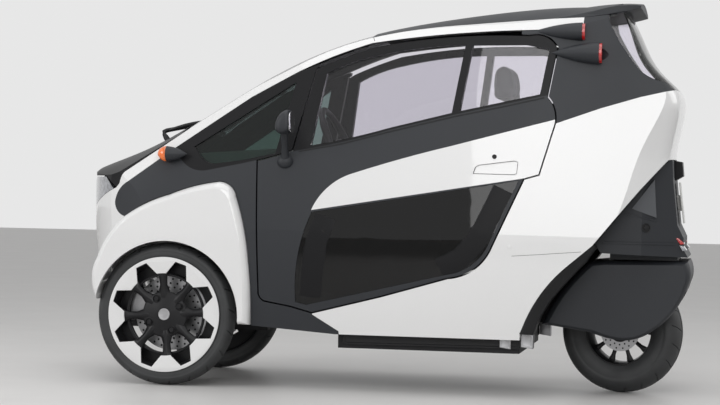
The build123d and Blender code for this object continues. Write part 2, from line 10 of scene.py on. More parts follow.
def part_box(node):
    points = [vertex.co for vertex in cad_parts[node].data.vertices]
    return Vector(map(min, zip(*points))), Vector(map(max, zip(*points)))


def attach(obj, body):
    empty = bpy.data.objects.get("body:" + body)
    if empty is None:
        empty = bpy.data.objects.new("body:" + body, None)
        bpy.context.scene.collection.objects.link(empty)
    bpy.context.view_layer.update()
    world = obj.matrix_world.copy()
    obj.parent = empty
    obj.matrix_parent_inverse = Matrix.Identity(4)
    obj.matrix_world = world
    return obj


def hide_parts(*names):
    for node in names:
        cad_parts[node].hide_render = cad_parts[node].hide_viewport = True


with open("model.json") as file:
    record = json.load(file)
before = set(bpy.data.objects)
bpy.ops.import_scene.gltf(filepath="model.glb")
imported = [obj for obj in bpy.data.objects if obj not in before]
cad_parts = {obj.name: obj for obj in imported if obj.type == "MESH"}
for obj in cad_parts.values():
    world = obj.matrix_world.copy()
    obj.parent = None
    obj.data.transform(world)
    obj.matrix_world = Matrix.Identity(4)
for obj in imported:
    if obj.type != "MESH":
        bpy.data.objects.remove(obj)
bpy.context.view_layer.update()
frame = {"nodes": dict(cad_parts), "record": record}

bl_info = {
    "name": "Three Wheeled Car",
    "version": (1, 0, 0),
    "blender": (4, 5, 0),
    "location": "3D View > Sidebar > Car",
    "description": "Finishes, wheels, seats, lamps and trim of a three wheeled car",
    "category": "Object",
}

NODES = frame["nodes"]
FRONT_HUB = Vector((0.784, 0.365, 0.27))
REAR_HUB = Vector((-0.916, 0.0, 0.235))
REAR_TURN = math.radians(-14)
ORIGIN = (0.0, 0.0, 0.0)
AXLE = (0.0, 1.0, 0.0)
MIRRORED = Vector((1.0, -1.0, 1.0))
# How far the middle of the car's length lies ahead of the middle of its wheelbase, in millimetres
MIDDLE_AHEAD = 66.0
# Where the lamps point
LAMP_AIM = Vector((0.0, 0.0, 0.6))


def colour_property(name, description, default):
    return bpy.props.FloatVectorProperty(name=name, description=description, subtype="COLOR", default=default)


def number_property(name, description, default, **limits):
    return bpy.props.FloatProperty(name=name, description=description, default=default, **limits)


def count_property(name, description, default, least):
    return bpy.props.IntProperty(name=name, description=description, default=default, min=least)


class CarStage(bpy.types.PropertyGroup):
    """Where the camera stands, and the light."""

    place: bpy.props.FloatVectorProperty(
        name="Camera place", description="Camera position", default=(-1.3894, 7.4573, 0.7869), unit="LENGTH")
    yaw: number_property("Yaw", "Turn of the camera from straight across the car", 0.199107, unit="ROTATION")
    pitch: number_property("Pitch", "Tilt of the camera above level", -0.010898, unit="ROTATION")
    roll: number_property("Roll", "Lean of the camera", 0.017670, unit="ROTATION")
    lens: number_property("Lens", "Focal length in millimetres on a 36 mm sensor", 96.95, min=10)
    lamp_power: number_property("Lamp power", "Power that the soft boxes share", 95.0, min=0)
    world_level: number_property("World level", "Strength of the light from all round", 0.42, min=0)
    floor_colour: colour_property("Floor colour", "Colour of the floor", (0.72, 0.71, 0.70))


class CarPaint(bpy.types.PropertyGroup):
    """Colours of the painted and moulded surfaces."""

    white: colour_property("White", "Pearl white body paint", (0.80, 0.80, 0.80))
    grey: colour_property("Charcoal", "Satin charcoal of the roof, tail and lower doors", (0.021, 0.023, 0.027))
    black: colour_property("Black", "Hood and window surrounds", (0.008, 0.008, 0.009))
    cloth: colour_property("Seat cloth", "Woven seat cover", (0.030, 0.030, 0.034))
    cabin: colour_property("Cabin trim", "Pale moulded trim of the cabin", (0.42, 0.44, 0.41))


def set_inputs(node, inputs):
    """Set plain values on a node's inputs, given by name or number."""
    for key, value in inputs.items():
        node.inputs[key].default_value = value
    return node


class Finish:
    """A node material being built: a Principled shader and short calls that add to it."""

    def __init__(self, name, colour, roughness, metallic=0.0, coat=0.0, specular=0.5):
        self.material = bpy.data.materials.new(name)
        self.material.use_nodes = True
        self.tree = self.material.node_tree
        self.shader = self.tree.nodes["Principled BSDF"]
        self.output = self.tree.nodes["Material Output"]
        self.colour = (*colour[:3], 1.0)
        set_inputs(self.shader, {
            "Base Color": self.colour, "Roughness": roughness, "Metallic": metallic, "Coat Weight": coat,
            "Coat Roughness": 0.04, "Specular IOR Level": specular})
        self.coordinates = self.tree.nodes.new("ShaderNodeTexCoord")

    def node(self, kind, inputs=None, **values):
        """Add a node with its settings and the values of its inputs."""
        made = self.tree.nodes.new(kind)
        for key, value in values.items():
            setattr(made, key, value)
        return set_inputs(made, inputs or {})

    def link(self, source, target):
        self.tree.links.new(source, target)

    def texture(self, kind, inputs, output, **values):
        """Add a texture laid out on the piece, and give one of its outputs."""
        made = self.node(kind, inputs, **values)
        self.link(self.coordinates.outputs["Object"], made.inputs["Vector"])
        return made.outputs[output]

    def noise(self, scale, detail=3.0):
        return self.texture("ShaderNodeTexNoise", {"Scale": scale, "Detail": detail}, "Fac")

    def grain(self, scale):
        return self.texture("ShaderNodeTexVoronoi", {"Scale": scale}, "Distance")

    def bands(self, direction, scale, distortion=0.0):
        return self.texture(
            "ShaderNodeTexWave", {"Scale": scale, "Distortion": distortion}, "Fac", wave_type="BANDS",
            bands_direction=direction)

    def spread(self, value, low, high):
        """Map a 0 to 1 value to low to high."""
        made = self.node("ShaderNodeMapRange", {"To Min": low, "To Max": high})
        self.link(value, made.inputs["Value"])
        return made.outputs["Result"]

    def vary_colour(self, value, other, low=0.35, high=0.65):
        """Blend the base colour towards another one by a 0 to 1 value."""
        ramp = self.node("ShaderNodeMapRange", {"From Min": low, "From Max": high})
        self.link(value, ramp.inputs["Value"])
        mix = self.node("ShaderNodeMix", {6: self.colour, 7: (*other[:3], 1.0)}, data_type="RGBA")
        self.link(ramp.outputs["Result"], mix.inputs[0])
        self.link(mix.outputs[2], self.shader.inputs["Base Color"])

    def vary_roughness(self, value, low, high):
        self.link(self.spread(value, low, high), self.shader.inputs["Roughness"])

    def bump(self, height, strength, distance=0.001):
        made = self.node("ShaderNodeBump", {"Strength": strength, "Distance": distance})
        self.link(height, made.inputs["Height"])
        self.link(made.outputs["Normal"], self.shader.inputs["Normal"])


def shade(colour, factor):
    """A colour made lighter or darker."""
    return tuple(min(1.0, channel * factor) for channel in colour)


def paint(name, colour, roughness, flake, coat=1.0, specular=0.5):
    """Lacquered paint with fine flake under the coat and a trace of orange peel."""
    made = Finish(name, colour, roughness, coat=coat, specular=specular)
    made.vary_colour(made.noise(1400.0, 1.0), shade(colour, flake), 0.45, 0.75)
    made.vary_roughness(made.noise(6.0), roughness * 0.9, roughness * 1.12)
    made.bump(made.noise(90.0, 2.0), 0.015)
    return made.material


def moulded(name, colour, roughness, grain_scale=900.0, strength=0.25, specular=0.5):
    """Moulded plastic with a fine pebbled grain."""
    made = Finish(name, colour, roughness, specular=specular)
    made.vary_colour(made.noise(14.0), shade(colour, 1.25))
    made.vary_roughness(made.noise(30.0), roughness * 0.88, min(1.0, roughness * 1.12))
    made.bump(made.grain(grain_scale), strength, 0.0004)
    return made.material


def glass(name, tint, mirror=1.0):
    """Thin window glass: a tinted clear film that mirrors more at a glance."""
    made = Finish(name, tint, 0.02)
    film = made.node("ShaderNodeBsdfTransparent", {"Color": (*tint, 1.0)})
    gloss = made.node("ShaderNodeBsdfGlossy", {"Roughness": 0.02})
    fresnel = made.node("ShaderNodeFresnel", {"IOR": 1.45})
    mix = made.node("ShaderNodeMixShader")
    made.link(made.spread(fresnel.outputs["Fac"], 0.0, mirror), mix.inputs["Fac"])
    made.link(film.outputs["BSDF"], mix.inputs[1])
    made.link(gloss.outputs["BSDF"], mix.inputs[2])
    made.link(mix.outputs["Shader"], made.output.inputs["Surface"])
    made.tree.nodes.remove(made.shader)
    return made.material


def lens(name, colour, glow=0.0):
    """Coloured lamp moulding with fine optic ribs."""
    made = Finish(name, colour, 0.12, coat=1.0)
    made.vary_colour(made.noise(60.0), shade(colour, 0.55))
    made.bump(made.bands("Z", 90.0), 0.25, 0.0008)
    set_inputs(made.shader, {"Emission Color": (*colour, 1.0), "Emission Strength": glow})
    return made.material


def metal(name, colour, roughness, scale=180.0, strength=0.12):
    """Cast or machined metal."""
    made = Finish(name, colour, roughness, metallic=1.0)
    made.vary_colour(made.noise(25.0), shade(colour, 0.78))
    made.vary_roughness(made.noise(40.0), roughness * 0.8, min(1.0, roughness * 1.3))
    made.bump(made.noise(scale, 6.0), strength, 0.0006)
    return made.material


def turned_steel(name, colour, centre):
    """Disc steel with the fine rings that the pads leave round the axle."""
    made = Finish(name, colour, 0.3, metallic=1.0)
    shift = made.node("ShaderNodeVectorMath", {1: centre}, operation="SUBTRACT")
    flat = made.node("ShaderNodeVectorMath", {1: (1.0, 0.0, 1.0)}, operation="MULTIPLY")
    length = made.node("ShaderNodeVectorMath", operation="LENGTH")
    made.link(made.coordinates.outputs["Object"], shift.inputs[0])
    made.link(shift.outputs["Vector"], flat.inputs[0])
    made.link(flat.outputs["Vector"], length.inputs[0])
    rings = made.node("ShaderNodeTexNoise", {"Scale": 900.0}, noise_dimensions="1D")
    made.link(length.outputs["Value"], rings.inputs["W"])
    made.vary_colour(rings.outputs["Fac"], shade(colour, 0.7))
    made.bump(rings.outputs["Fac"], 0.2, 0.0003)
    return made.material


def rubber(name, colour):
    """Tyre rubber, a little dusty and finely pored."""
    made = Finish(name, colour, 0.6)
    made.vary_colour(made.noise(9.0, 6.0), shade(colour, 1.5))
    made.vary_roughness(made.noise(25.0), 0.45, 0.68)
    made.bump(made.noise(700.0), 0.2, 0.0005)
    return made.material


def cloth(name, colour):
    """Woven seat cover: two crossed sets of yarns and a soft sheen."""
    made = Finish(name, colour, 0.9)
    set_inputs(made.shader, {"Sheen Weight": 0.35, "Sheen Roughness": 0.5})
    weave = made.node("ShaderNodeMath", operation="MULTIPLY")
    for i, direction in enumerate(("Y", "Z")):
        made.link(made.bands(direction, 420.0, 0.4), weave.inputs[i])
    made.vary_colour(weave.outputs["Value"], shade(colour, 1.6), 0.1, 0.9)
    made.bump(weave.outputs["Value"], 0.5, 0.0006)
    return made.material


def finishes(paints):
    """One material for each of the record's slots."""
    return {
        "paint_white": paint("paint_white", paints.white, 0.32, 0.93),
        "paint_grey": paint("paint_grey", paints.grey, 0.5, 1.35, coat=0.0, specular=0.35),
        "gloss_black": paint("gloss_black", paints.black, 0.42, 1.1, coat=0.0, specular=0.18),
        "glass_clear": glass("glass_clear", (0.90, 0.89, 0.92)),
        "glass_green": glass("glass_green", (0.42, 0.50, 0.48)),
        "glass_dark": glass("glass_dark", (0.13, 0.13, 0.14), 1.2),
        "lens_clear": lens("lens_clear", (0.34, 0.35, 0.38)),
        "lens_amber": lens("lens_amber", (0.85, 0.17, 0.02), 0.15),
        "lens_red": lens("lens_red", (0.55, 0.01, 0.01), 0.12),
        "tyre_rubber": rubber("tyre_rubber", (0.024, 0.025, 0.026)),
        "mirror_silver": metal("mirror_silver", (0.8, 0.8, 0.82), 0.03, 20.0, 0.0),
        # A lighter copy of the tail's charcoal for its side facet: a painted highlight
        "facet_highlight_grey": paint("facet_highlight_grey", (0.075, 0.080, 0.088), 0.45, 1.3, coat=0.0),
        "rim_white": paint("rim_white", (0.78, 0.78, 0.78), 0.3, 0.93),
        "spider_black": paint("spider_black", (0.007, 0.007, 0.008), 0.35, 1.6, coat=0.0, specular=0.3),
        "disc_steel": turned_steel("disc_steel", (0.45, 0.45, 0.46), (FRONT_HUB.x, 0.0, FRONT_HUB.z)),
        "chassis": moulded("chassis", (0.012, 0.012, 0.013), 0.62, 300.0, 0.35, 0.25),
        "cast_alloy": metal("cast_alloy", (0.46, 0.46, 0.47), 0.42),
        "seat_cloth": cloth("seat_cloth", paints.cloth),
        "trim_light": moulded("trim_light", paints.cabin, 0.6),
        "trim_black": moulded("trim_black", (0.010, 0.010, 0.011), 0.5, specular=0.3),
        "plate_white": moulded("plate_white", (0.62, 0.62, 0.60), 0.4, 200.0, 0.05),
    }


MATERIALS = {}


def point(x, y, z):
    """Millimetres from the middle of the wheelbase, as the car's drawings give them, to the frame's metres."""
    return Vector((x - MIDDLE_AHEAD, y, z)) / 1000.0


def clear():
    """Leave edit mode with nothing selected."""
    if bpy.context.object and bpy.context.object.mode == "EDIT":
        bpy.ops.object.mode_set(mode="OBJECT")
    bpy.ops.object.select_all(action="DESELECT")


def pick(made):
    """Make one object the selected and active one."""
    clear()
    made.select_set(True)
    bpy.context.view_layer.objects.active = made


def edit(made):
    """Open a piece in edit mode with all of it selected."""
    pick(made)
    bpy.ops.object.mode_set(mode="EDIT")
    bpy.ops.mesh.select_mode(type="VERT")
    bpy.ops.mesh.select_all(action="SELECT")


def trace(name, points, fill=True):
    """Draw an outline in edit mode by extruding a corner from point to point."""
    clear()
    bpy.ops.mesh.primitive_plane_add(size=0.01, location=ORIGIN)
    made = bpy.context.object
    made.name = name
    edit(made)
    bpy.ops.mesh.merge(type="CENTER")
    bpy.ops.transform.translate(value=points[0])
    for here, there in zip(points, points[1:]):
        bpy.ops.mesh.extrude_region_move(TRANSFORM_OT_translate={"value": Vector(there) - Vector(here)})
    bpy.ops.mesh.select_all(action="SELECT")
    if fill:
        bpy.ops.mesh.edge_face_add()
    return made


def tidy(made):
    """Merge doubles and turn the faces outwards."""
    bpy.ops.mesh.select_all(action="SELECT")
    bpy.ops.mesh.remove_doubles(threshold=0.00001)
    bpy.ops.mesh.normals_make_consistent(inside=False)


def lathe(name, rows, steps, skew=0.0):
    """Spin a profile of rows, y and radius in millimetres, round the axle, slanted by skew radians a millimetre."""
    points = []
    for y, radius in rows:
        lean = skew * abs(y)
        points.append(Vector((radius * math.sin(lean), y, radius * math.cos(lean))) / 1000.0)
    made = trace(name, points, fill=False)
    bpy.ops.mesh.spin(steps=steps, angle=math.tau, center=ORIGIN, axis=AXLE)
    tidy(made)
    return made


def prism(name, points, depth):
    """Extrude an outline by depth."""
    made = trace(name, points)
    bpy.ops.mesh.extrude_region_move(TRANSFORM_OT_translate={"value": depth})
    tidy(made)
    return made


def loft(name, rings):
    """A closed form through rings of equal count, each extruded from the one before and set to its place."""
    made = trace(name, [Vector(p) for p in rings[0]])
    last = [Vector(p) for p in rings[0]]
    for ring in rings[1:]:
        bpy.ops.mesh.extrude_region_move()
        form = bmesh.from_edit_mesh(made.data)
        for corner in [v for v in form.verts if v.select]:
            index = min(range(len(last)), key=lambda i: (corner.co - last[i]).length)
            corner.co = ring[index]
        bmesh.update_edit_mesh(made.data)
        last = [Vector(p) for p in ring]
    tidy(made)
    return made


def choose(made, test, kind="FACE"):
    """Select the faces or corners that pass a test."""
    bpy.ops.mesh.select_mode(type=kind)
    bpy.ops.mesh.select_all(action="DESELECT")
    form = bmesh.from_edit_mesh(made.data)
    for item in form.faces if kind == "FACE" else form.verts:
        if test(item):
            item.select_set(True)
    bmesh.update_edit_mesh(made.data)


def modify(made, kind, **values):
    """Add a modifier and apply it."""
    pick(made)
    modifier = made.modifiers.new("step", kind)
    for key, value in values.items():
        setattr(modifier, key, value)
    bpy.ops.object.modifier_apply(modifier="step")


def round_edges(made, width, segments=2):
    """Round the edges sharper than 30 degrees, width in millimetres."""
    modify(made, "BEVEL", width=width / 1000.0, segments=segments, limit_method="ANGLE",
           angle_limit=math.radians(30.0))


def soften(made):
    """Round a whole form by subdividing it once."""
    modify(made, "SUBSURF", levels=1, render_levels=1)


def recess(made, border, slope, depth):
    """Sink the outer side of a piece within a border, and round its edges. Sizes are in millimetres."""
    choose(made, lambda face: face.normal.y > 0.9)
    bpy.ops.mesh.inset(thickness=border / 1000.0, depth=0.0)
    bpy.ops.mesh.inset(thickness=slope / 1000.0, depth=-depth / 1000.0)
    clear()
    round_edges(made, 1.5)


def oval(count, start, power):
    """Places round an oval of half width 1, squarer the lower its power is."""
    places = []
    for i in range(count):
        angle = i * math.tau / count + start
        wide, tall = math.cos(angle), math.sin(angle)
        places.append((math.copysign(abs(wide) ** power, wide), math.copysign(abs(tall) ** power, tall)))
    return places


def copy(made, name, flip=False):
    """The same piece again with its own mesh, on the other side of the car if flipped."""
    pick(made)
    bpy.ops.object.duplicate()
    other = bpy.context.object
    other.name = name
    if flip:
        other.scale = MIRRORED
        bpy.ops.object.transform_apply(location=False, rotation=False, scale=True)
        edit(other)
        tidy(other)
        clear()
    return other


def place(made, where, turn=ORIGIN):
    """Turn and move a piece, and keep that in its mesh."""
    pick(made)
    made.location = where
    made.rotation_euler = turn
    bpy.ops.object.transform_apply(location=True, rotation=True, scale=True)


def join(name, pieces):
    """Join pieces into the first one."""
    clear()
    for piece in pieces:
        piece.select_set(True)
    bpy.context.view_layer.objects.active = pieces[0]
    bpy.ops.object.join()
    pieces[0].name = name
    return pieces[0]


def dress(made, body, slot, smooth=35.0, replaces=(), material=None):
    """Finish a piece: smooth its curved faces, give it its material and let it ride on its body."""
    pick(made)
    bpy.ops.object.shade_smooth_by_angle(angle=math.radians(smooth))
    made.data.materials.clear()
    made.data.materials.append(MATERIALS[material or slot])
    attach(made, body)
    if replaces:
        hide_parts(*replaces)


def both_sides(made, name, body, slot, smooth=35.0, node=None, material=None):
    """Dress a left hand piece and its mirror image. Body and node names take the side in braces."""
    other = copy(made, name + "_right", flip=True)
    made.name = name + "_left"
    for piece, side in ((made, "left"), (other, "right")):
        stands_for = (node.format(side),) if node else ()
        dress(piece, body.format(side), slot, smooth, stands_for, material)


def copy_node(node, name):
    """A merged copy of a carried part's mesh, its flat faces made whole."""
    clear()
    made = bpy.data.objects.new(name, NODES[node].data.copy())
    bpy.context.scene.collection.objects.link(made)
    edit(made)
    bpy.ops.mesh.remove_doubles(threshold=0.00002)
    bpy.ops.mesh.dissolve_limited(angle_limit=math.radians(1.0))
    clear()
    return made


def surface(node, x, z):
    """Where a part's left side is, at a place in the side view, and the way it faces."""
    hit, spot, normal, _ = NODES[node].ray_cast(point(x, 900.0, z), Vector((0.0, -1.0, 0.0)))
    if not hit:
        raise RuntimeError(f"{node} has no surface at {x}, {z}")
    return spot, normal


# Millimetres from one ring of a ribbon to the next, and how deep its foot lies in the part
RIBBON_STEP = 18.0
RIBBON_FOOT = 0.8


def ribbon(name, node, rows, width, height):
    """A strip laid on a part's side along rows of x and z, width across and height proud of it."""
    rows = [Vector(row) for row in rows]
    path = []
    for here, there in zip(rows, rows[1:]):
        count = max(1, int((there - here).length / RIBBON_STEP))
        path += [here.lerp(there, i / count) for i in range(count)]
    path.append(rows[-1])
    spots = [surface(node, x, z) for x, z in path]
    rings = []
    for i, (spot, normal) in enumerate(spots):
        ahead = spots[min(i + 1, len(spots) - 1)][0] - spots[max(i - 1, 0)][0]
        across = ahead.cross(normal).normalized() * width / 2000.0
        low = normal * -RIBBON_FOOT / 1000.0
        high = normal * height / 1000.0
        rings.append([
            spot + across + low, spot + across * 0.8 + high, spot - across * 0.8 + high, spot - across + low])
    return loft(name, rings)


class CAR_OT_stage(bpy.types.Operator):
    """Set the floor, the soft light and the camera"""
    bl_idname = "car.stage"
    bl_label = "Stage"

    def execute(self, context):
        stage = context.scene.car_stage
        self.camera(context, stage)
        self.floor(stage)
        self.lamps(stage)
        self.world(context, stage)
        context.scene.view_settings.view_transform = "Standard"
        return {"FINISHED"}

    def camera(self, context, stage):
        """Stand the camera where the photograph was taken."""
        yaw, pitch, roll = stage.yaw, stage.pitch, stage.roll
        ahead = Vector((math.sin(yaw), -math.cos(yaw), 0.0))
        right = Vector((-math.cos(yaw), -math.sin(yaw), 0.0))
        up = Vector((0.0, 0.0, 1.0))
        look = ahead * math.cos(pitch) + up * math.sin(pitch)
        top = up * math.cos(pitch) - ahead * math.sin(pitch)
        side = right * math.cos(roll) + top * math.sin(roll)
        head = top * math.cos(roll) - right * math.sin(roll)
        data = bpy.data.cameras.new("camera")
        data.lens = stage.lens
        data.sensor_width = 36.0
        camera = bpy.data.objects.new("camera", data)
        context.scene.collection.objects.link(camera)
        turn = Matrix((side, head, -look)).transposed().to_4x4()
        camera.matrix_world = Matrix.Translation(Vector(stage.place)) @ turn
        context.scene.camera = camera

    def floor(self, stage):
        bpy.ops.mesh.primitive_plane_add(size=40.0, location=ORIGIN)
        floor = bpy.context.object
        floor.name = "floor"
        made = Finish("floor", stage.floor_colour, 0.45)
        made.vary_colour(made.noise(3.0), shade(stage.floor_colour, 0.97))
        floor.data.materials.append(made.material)

    def lamps(self, stage):
        for name, spot, size, share in (
            ("overhead", (0.0, 1.0, 4.2), 4.0, 0.65),
            ("side", (-1.0, 5.0, 2.6), 3.0, 0.85),
            ("nose", (4.0, 3.2, 2.0), 2.2, 0.6),
            ("tail", (-4.5, -1.0, 2.4), 2.2, 0.35),
        ):
            data = bpy.data.lights.new(name, "AREA")
            data.size = size
            data.energy = stage.lamp_power * share
            lamp = bpy.data.objects.new(name, data)
            bpy.context.scene.collection.objects.link(lamp)
            lamp.location = spot
            lamp.rotation_euler = (LAMP_AIM - Vector(spot)).to_track_quat("-Z", "Y").to_euler()

    def world(self, context, stage):
        """Even light from all round, and a white background for the camera, mirrors and glass."""
        world = bpy.data.worlds.new("world")
        world.use_nodes = True
        context.scene.world = world
        tree = world.node_tree
        tree.nodes.clear()
        output = tree.nodes.new("ShaderNodeOutputWorld")
        rays = tree.nodes.new("ShaderNodeLightPath")
        light = set_inputs(tree.nodes.new("ShaderNodeBackground"), {"Strength": stage.world_level})
        seen = set_inputs(tree.nodes.new("ShaderNodeBackground"), {"Strength": 1.0})
        largest = rays.outputs["Is Camera Ray"]
        for name in ("Is Glossy Ray", "Is Transmission Ray"):
            larger = tree.nodes.new("ShaderNodeMath")
            larger.operation = "MAXIMUM"
            tree.links.new(largest, larger.inputs[0])
            tree.links.new(rays.outputs[name], larger.inputs[1])
            largest = larger.outputs["Value"]
        mix = tree.nodes.new("ShaderNodeMixShader")
        tree.links.new(largest, mix.inputs["Fac"])
        tree.links.new(light.outputs["Background"], mix.inputs[1])
        tree.links.new(seen.outputs["Background"], mix.inputs[2])
        tree.links.new(mix.outputs["Shader"], output.inputs["Surface"])


class CAR_OT_finishes(bpy.types.Operator):
    """Give every carried part its finish"""
    bl_idname = "car.finishes"
    bl_label = "Finishes"

    def execute(self, context):
        MATERIALS.update(finishes(context.scene.car_paint))
        slots = {row["node"]: row["material_slot"] for row in frame["record"]["subparts"]}
        for name, node in NODES.items():
            if name not in slots:
                raise RuntimeError(f"{name} has no material slot in the record")
            node.data.materials.clear()
            node.data.materials.append(MATERIALS[slots[name]])
        return {"FINISHED"}


# y and radius down one side of a tyre's section, from the middle of the tread to the bead
FRONT_SECTION = (
    (0, 268.4), (1.6, 268.4), (2.6, 270), (9, 269), (16, 267.2), (23, 264.3), (29.5, 260.6), (35, 256.4),
    (38.2, 251.5), (41, 246), (41.9, 240.5), (41.3, 239), (41.6, 234), (42, 230), (40, 220), (37.6, 214.5),
    (36.4, 212.5), (33, 208), (31.6, 206),
)
REAR_SECTION = (
    (0, 231.5), (3, 231.5), (4.2, 234.7), (12, 234), (20, 232.3), (29, 229), (38, 224), (46, 217.6), (52, 210.4),
    (56.5, 202), (59.4, 192), (60, 184), (59, 182.5), (59.3, 176), (58, 164), (54.8, 150), (52.4, 146), (51, 142),
    (47, 135), (45.4, 132),
)
# The rows of a section where the tread ends, and in metres how far inside them a groove may reach,
# half the plain middle of the tread, the margin round a groove and the slope of its wall
TREAD_LOW_ROW = 7
TREAD_EDGE_ROW = 8
SHOULDER_DROP = 0.004
MIDDLE_RIB = 0.005
GROOVE_GAP = 0.0022
GROOVE_SLOPE = 0.0006


class CarWheels(bpy.types.PropertyGroup):
    """Sizes of the tyres and wheels."""

    tyre_steps: count_property("Tyre steps", "Faces round a tyre", 180, 60)
    sipe_every: count_property("Sipe spacing", "Faces from one tread groove to the next", 9, 3)
    sipe_depth: number_property("Sipe depth", "Depth of the tread grooves", 0.0045, unit="LENGTH")
    spokes: count_property("Spokes", "Spokes of a front wheel", 8, 3)
    nuts: count_property("Nuts", "Wheel nuts", 4, 3)
    nut_circle: number_property("Nut circle", "Radius that the wheel nuts stand on", 0.066, unit="LENGTH")


def tyre(name, section, wheels, skew):
    """A tyre with slanting grooves cut in the tread, axle along Y."""
    rows = [(-y, radius) for y, radius in reversed(section)][:-1] + list(section)
    made = lathe(name, rows + [rows[0]], wheels.tyre_steps, skew=skew)
    tread_low = section[TREAD_LOW_ROW][1] / 1000.0 - SHOULDER_DROP
    edge = section[TREAD_EDGE_ROW][0] / 1000.0
    step = math.tau / wheels.tyre_steps

    def in_groove(face):
        spot = face.calc_center_median()
        if math.hypot(spot.x, spot.z) < tread_low or abs(spot.y) > edge or abs(spot.y) < MIDDLE_RIB:
            return False
        turn = (math.atan2(spot.x, spot.z) - skew * abs(spot.y) * 1000.0) % math.tau
        offset = 0 if spot.y > 0 else wheels.sipe_every // 2
        return int(turn / step + 0.5) % wheels.sipe_every == offset

    choose(made, in_groove)
    bpy.ops.mesh.inset(thickness=GROOVE_GAP, depth=0.0)
    bpy.ops.mesh.inset(thickness=GROOVE_SLOPE, depth=-wheels.sipe_depth)
    return made


class CAR_OT_tyres(bpy.types.Operator):
    """Three tyres with grooved treads and stepped side walls"""
    bl_idname = "car.tyres"
    bl_label = "Tyres"

    def execute(self, context):
        wheels = context.scene.car_wheels
        front = tyre("front_tyre_left_tread", FRONT_SECTION, wheels, 0.0022)
        other = copy(front, "front_tyre_right_tread")
        rear = tyre("rear_tyre_tread", REAR_SECTION, wheels, 0.0026)
        for made, hub, turn, body, node in (
            (front, FRONT_HUB, 0.0, "front_wheel_left", "front_tyre_left"),
            (other, FRONT_HUB * MIRRORED, math.pi, "front_wheel_right", "front_tyre_right"),
            (rear, REAR_HUB, REAR_TURN, "rear_wheel", "rear_tyre"),
        ):
            place(made, hub, (0.0, 0.0, turn))
            dress(made, body, "tyre_rubber", 50.0, (node,))
        return {"FINISHED"}


# y and radius of the wheels' turned parts
BARREL = (
    (41, 205.8), (41, 202.5), (34, 199), (24, 196), (6, 194.5), (-24, 195), (-31, 199), (-34, 203), (-34, 205.8),
    (41, 205.8),
)
HUB = (
    (8, 0), (8, 15.5), (-12, 15.5), (-12, 43), (14, 44), (17, 66), (21, 84), (25, 88), (29, 84), (32.5, 68),
    (36, 48), (39, 33), (40, 25), (38.5, 24), (38.5, 0),
)
FLANGE = ((-22, 152), (-22, 197), (-26, 197), (-26, 152), (-22, 152))
INNER_RING = ((14, 145), (22, 145), (24, 147), (24, 152), (22, 154), (14, 154), (14, 145))
CAP = ((38, 0), (38, 22.5), (40, 22.5), (41.2, 21), (41.2, 19), (40.6, 17), (41.6, 8), (42, 0))
NUT = ((29, 0), (29, 15), (35.5, 15), (36.8, 13.6), (33, 12.4), (33, 9.6), (41, 9.2), (42.5, 7.6), (42.5, 0))
# Distance from the axle, half width, back, shoulder and ridge of a spoke
SPOKE = (
    (52, 29, 16, 24, 33), (86, 23, 17, 25, 35.5), (112, 14.5, 19, 27, 38), (142, 17, 22, 31, 40),
    (158, 24, 25, 35, 40.3), (199, 28, 26, 36, 38),
)
REAR_BARREL = (
    (44, 131.8), (44, 126), (38, 124), (20, 119), (-20, 118), (-38, 124), (-44, 126), (-44, 131.8), (44, 131.8),
)
REAR_HUB_ROWS = (
    (40, 17.5), (40, 31), (34, 36), (30, 44), (14, 48), (2, 46), (-30, 34), (-40, 30), (-40, 17.5), (40, 17.5),
)
REAR_SPOKES = 10
REAR_SPOKE = ((40, 11, 4, 14, 17), (66, 7, 5, 13, 16), (96, 8, 6, 13, 16), (120, 13, 2, 15, 17))
REAR_DISC = ((31, 40), (31, 77), (26, 77), (26, 40), (31, 40))
# Distance from the axle of a disc's rings of holes, drawn as dark marks of painted shade, and the share of a hole's
# spacing that each is turned by
FRONT_DISC_HOLES = ((98, 0.0), (114, 0.33), (130, 0.66))
REAR_DISC_HOLES = ((52, 0.0), (66, 0.5))


def spoke(name, rows):
    """One ridged spoke along X, its face towards +Y."""
    return loft(name, [
        [Vector((reach, y, z)) / 1000.0 for y, z in (
            (back, -half), (shoulder, -half * 0.9), (ridge, -half * 0.22), (ridge, half * 0.22),
            (shoulder, half * 0.9), (back, half))]
        for reach, half, back, shoulder, ridge in rows])


def round_copies(made, count):
    """Repeat a form evenly round the axle."""
    edit(made)
    bpy.ops.mesh.spin(steps=count - 1, angle=math.tau * (count - 1) / count, dupli=True, center=ORIGIN, axis=AXLE)
    clear()


def turned(made, degrees):
    """Turn a form about the axle."""
    place(made, ORIGIN, (0.0, -math.radians(degrees), 0.0))


def holes(name, y, rows, radius, count):
    """Dark marks of painted shade where a brake disc's drillings are, a hair proud of it; the holes are not cut."""
    found = []
    for reach, share in rows:
        made = prism(name, [
            Vector((reach + radius * math.cos(i * math.tau / 10), y, radius * math.sin(i * math.tau / 10))) / 1000.0
            for i in range(10)], (0.0, 0.0009, 0.0))
        clear()
        round_copies(made, count)
        turned(made, share * 360.0 / count)
        found.append(made)
    return join(name, found)


